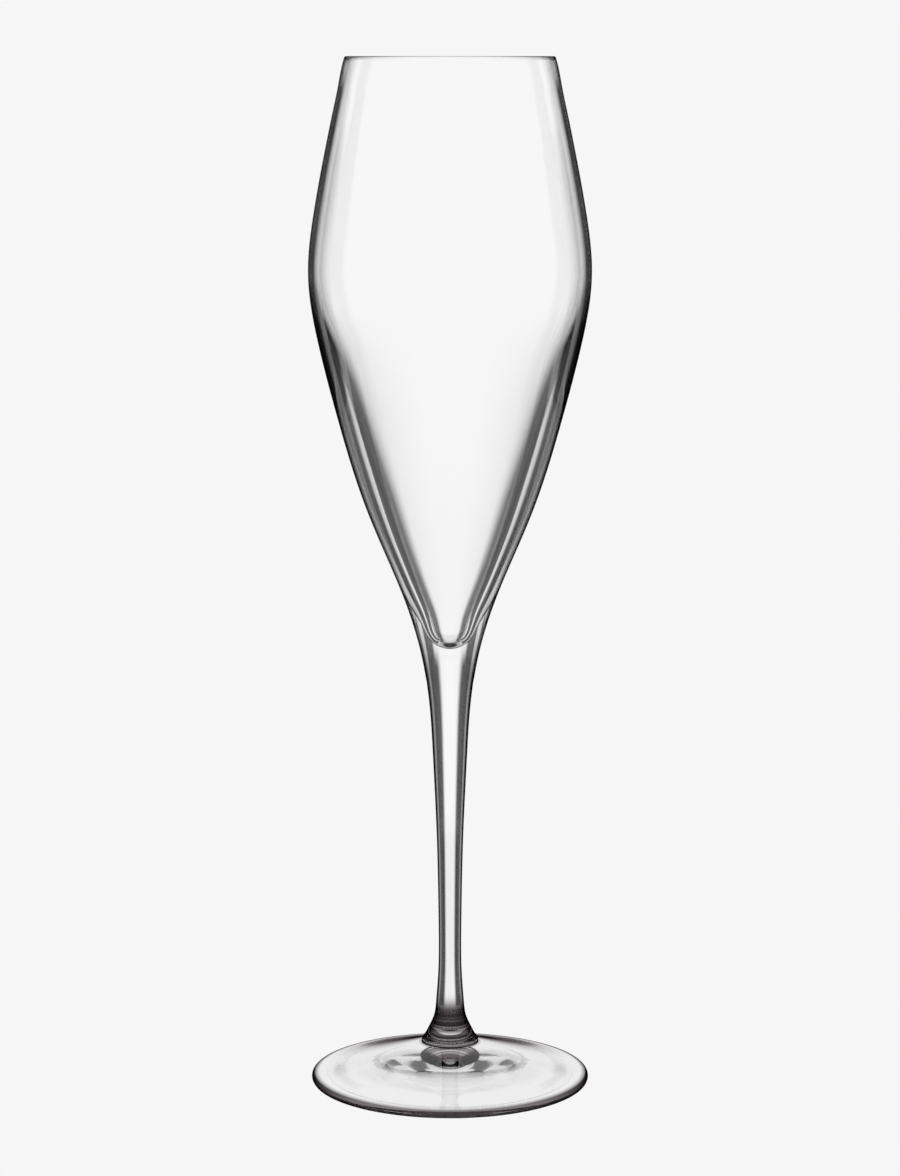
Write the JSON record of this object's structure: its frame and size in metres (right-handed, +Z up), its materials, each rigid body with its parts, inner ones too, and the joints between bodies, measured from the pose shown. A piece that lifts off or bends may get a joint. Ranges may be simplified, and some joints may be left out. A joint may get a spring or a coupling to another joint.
{
  "type": "champagne flute",
  "caption": "Tall stemmed champagne flute in clear glass, with a deep tulip bowl that tapers to a narrow rim, a slim drawn stem and a low conical foot.",
  "frame": {"origin": "centre of the standing ring under the foot, on the surface that the glass stands on", "axes": "+Z up along the stem, from the foot to the rim; X and Y are any two level directions, because the glass is round"},
  "size_m": [0.0682, 0.0682, 0.25],
  "materials": {
    "bowl_glass": "fire-polished clear crystal, smooth and colourless",
    "stem_glass": "drawn clear crystal, smooth and colourless",
    "foot_glass": "pressed and fire-polished clear crystal, smooth and colourless"
  },
  "bodies": {
    "root": {"bowl": "bowl_glass", "stem": "stem_glass", "foot": "foot_glass"}
  },
  "joints": []
}
